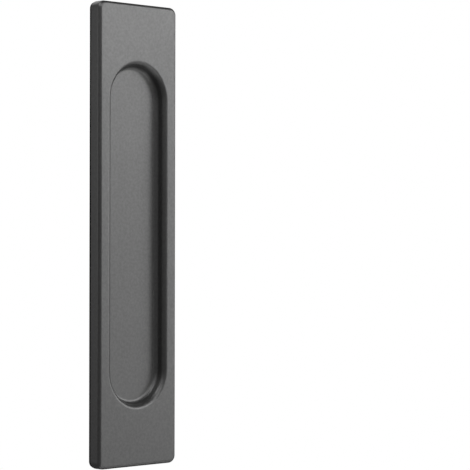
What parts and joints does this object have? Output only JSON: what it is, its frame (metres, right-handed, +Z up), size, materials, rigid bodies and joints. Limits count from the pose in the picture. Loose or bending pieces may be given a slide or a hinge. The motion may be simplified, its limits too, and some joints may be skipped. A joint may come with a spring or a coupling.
{
  "type": "self-adhesive sliding door pull",
  "caption": "Flat dark grey metal plate with a round-ended finger recess in its face and a foam adhesive pad on its back, for opening a sliding door.",
  "frame": {"origin": "middle of the pad's adhesive side, on the surface that the pull is stuck to", "axes": "+Z up along the pull's length, +Y into the door, so the face with the recess looks towards -Y, +X to the right as seen from the front"},
  "size_m": [0.04, 0.0063, 0.18],
  "materials": {
    "plate_metal": "fine blasted and anodised dark grey, satin",
    "adhesive_foam": "matte black closed-cell foam with a tacky skin"
  },
  "bodies": {
    "root": {"pull_body": "plate_metal", "adhesive_pad": "adhesive_foam"}
  },
  "joints": []
}
